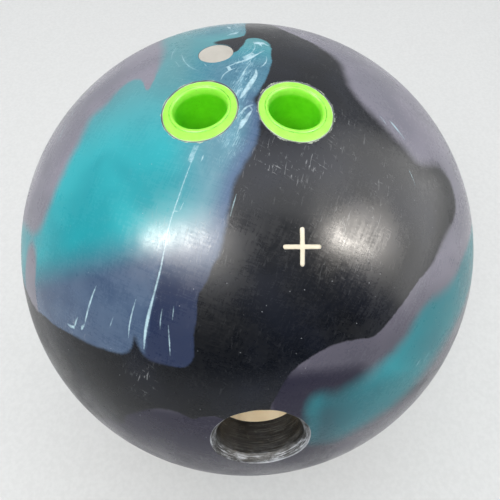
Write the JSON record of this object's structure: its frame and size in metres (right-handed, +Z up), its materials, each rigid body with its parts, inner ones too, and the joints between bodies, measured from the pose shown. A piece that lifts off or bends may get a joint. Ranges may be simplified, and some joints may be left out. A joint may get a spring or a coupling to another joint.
{
  "type": "bowling ball",
  "caption": "Ten-pin bowling ball with marbled cover, drilled thumb hole, finger holes with soft inserts, locator pin and inner weight block.",
  "frame": {"origin": "the centre of the ball", "axes": "+Z up, as the ball lies on its rest with the finger holes on top; -Y toward the side with the thumb hole; +X to the right of someone who faces the thumb hole"},
  "size_m": [0.217, 0.217, 0.217],
  "materials": {
    "coverstock": "satin-polished cast resin, teal, black and grey marbling",
    "outer_core": "matt, as drilled",
    "weight_block": "matt, as moulded",
    "locator_pin": "sanded flush with the cover",
    "finger_insert": "soft satin, lime green",
    "insert_glue": "cured adhesive, dusty",
    "centre_mark_paint": "matt paint fill"
  },
  "bodies": {
    "root": {"coverstock": "coverstock", "outer_core": "outer_core", "weight_block": "weight_block", "locator_pin": "locator_pin", "finger_insert_left": "finger_insert", "finger_insert_right": "finger_insert", "insert_glue_left": "insert_glue", "insert_glue_right": "insert_glue", "centre_mark_paint": "centre_mark_paint"}
  },
  "joints": []
}
